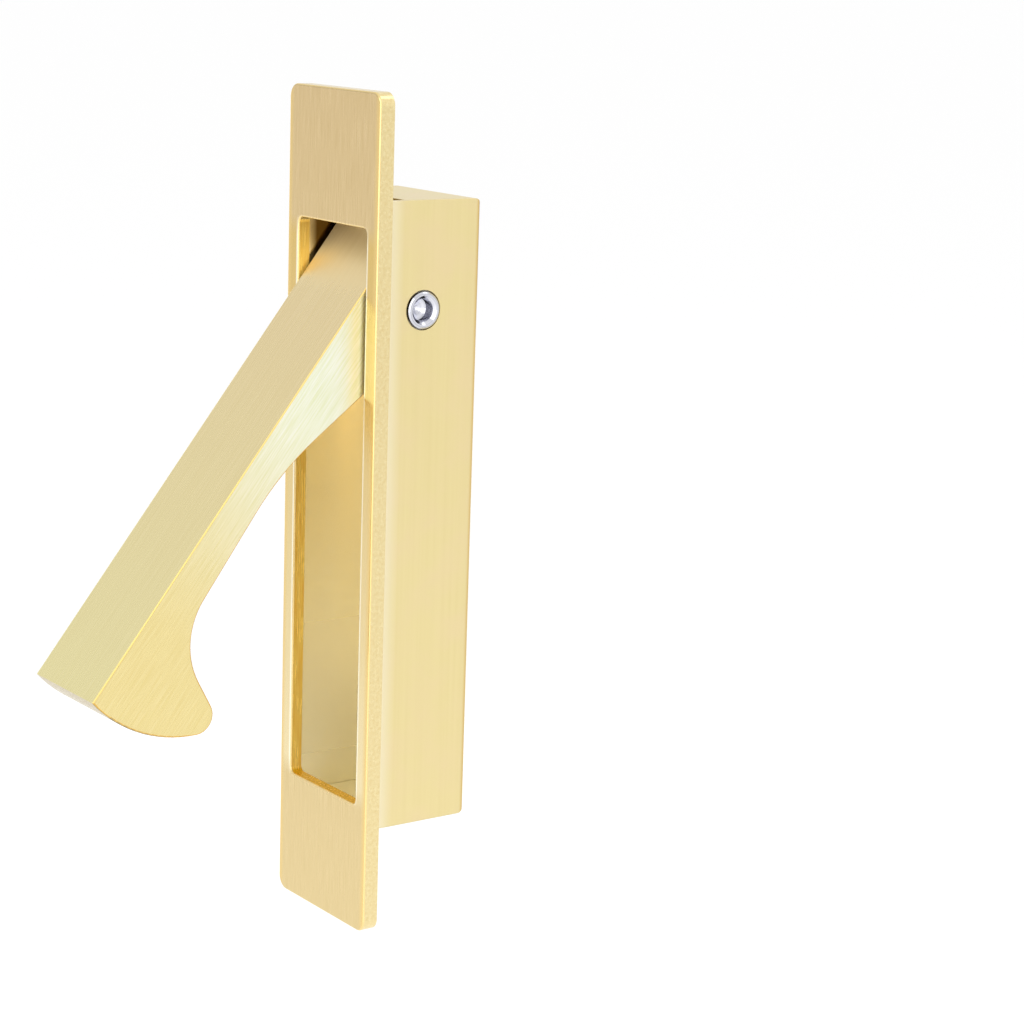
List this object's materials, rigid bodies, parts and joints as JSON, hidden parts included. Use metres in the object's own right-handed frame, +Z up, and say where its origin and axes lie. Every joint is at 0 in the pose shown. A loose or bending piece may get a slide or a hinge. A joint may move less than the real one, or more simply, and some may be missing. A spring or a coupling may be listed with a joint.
{
  "type": "pocket door pull",
  "caption": "Edge pull for a sliding pocket door: a windowed face plate, a folded housing behind it and a flush hooked lever that swings out on a cross pin.",
  "frame": {"origin": "middle of the face plate's back, the face that seats on the door's edge", "axes": "+X across the door's edge, +Y into the door, +Z up along the edge"},
  "size_m": [0.025, 0.0637, 0.127],
  "materials": {
    "satin_brass": "brushed, fine lines along the length",
    "pin_steel": "turned, bright",
    "washer_nylon": "moulded, matte"
  },
  "bodies": {
    "case": {"face_plate": "satin_brass", "housing": "satin_brass", "friction_washer_left": "washer_nylon", "friction_washer_right": "washer_nylon"},
    "lever": {"pull_lever": "satin_brass", "pivot_pin": "pin_steel"}
  },
  "joints": [
    {"name": "lever_swing", "type": "hinge", "parent": "case", "child": "lever", "pos_m": [0, 0.007, 0.03155], "axis": [1, 0, 0], "range_deg": [0, 38]}
  ]
}
